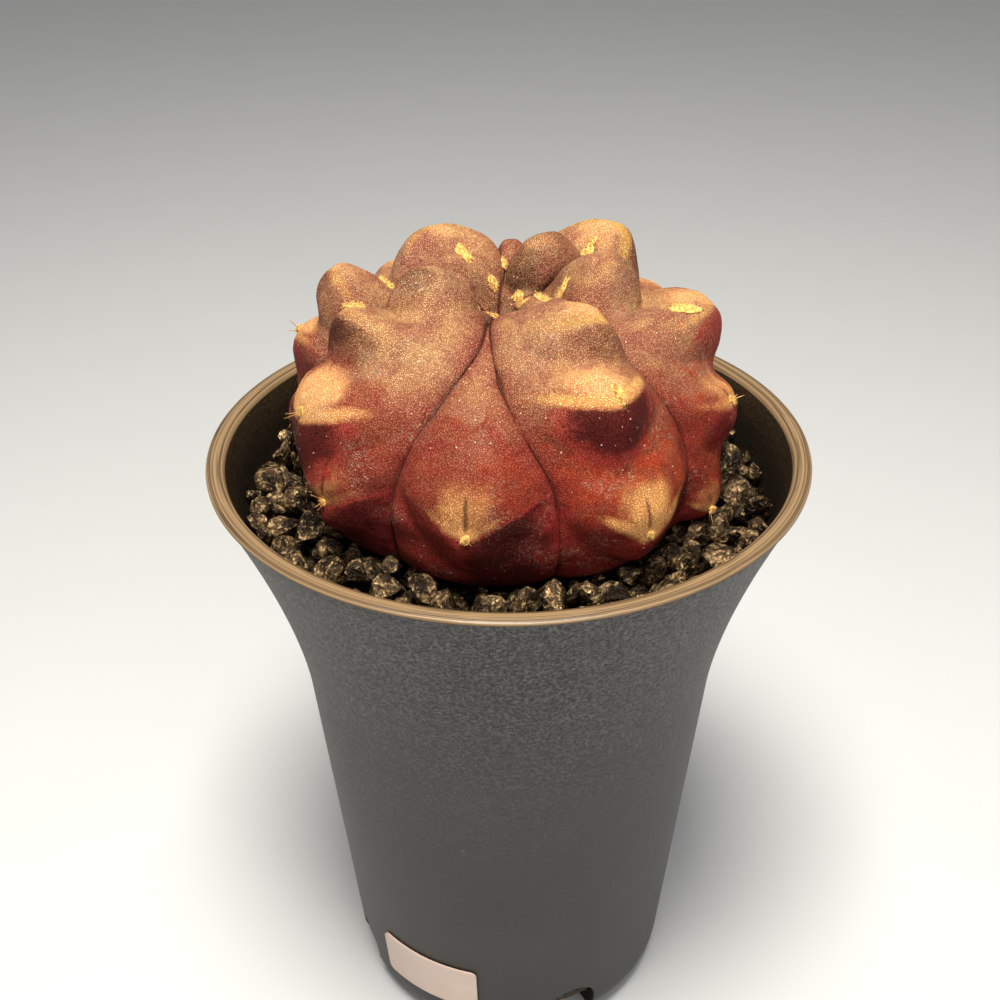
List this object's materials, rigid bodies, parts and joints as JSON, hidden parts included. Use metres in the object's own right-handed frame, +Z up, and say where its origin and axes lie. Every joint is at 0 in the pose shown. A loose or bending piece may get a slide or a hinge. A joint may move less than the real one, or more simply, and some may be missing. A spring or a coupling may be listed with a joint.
{
  "type": "potted moon cactus",
  "caption": "Flattened round cactus with swollen, tubercled ribs and a sunken crown, in a flared dark plastic pot dressed with black volcanic grit.",
  "frame": {"origin": "middle of the pot's foot, on the surface that it stands on", "axes": "+Z up through the pot; the picture looks along +Y and down"},
  "size_m": [0.09, 0.09, 0.1344],
  "materials": {
    "pot_plastic": "matte, fine grained",
    "potting_mix": "rough",
    "volcanic_grit": "glossy, chipped",
    "cactus_skin": "satin, finely pimpled",
    "label_paper": "satin"
  },
  "bodies": {
    "root": {"pot": "pot_plastic", "soil": "potting_mix", "grit": "volcanic_grit", "cactus": "cactus_skin", "label": "label_paper"}
  },
  "joints": []
}
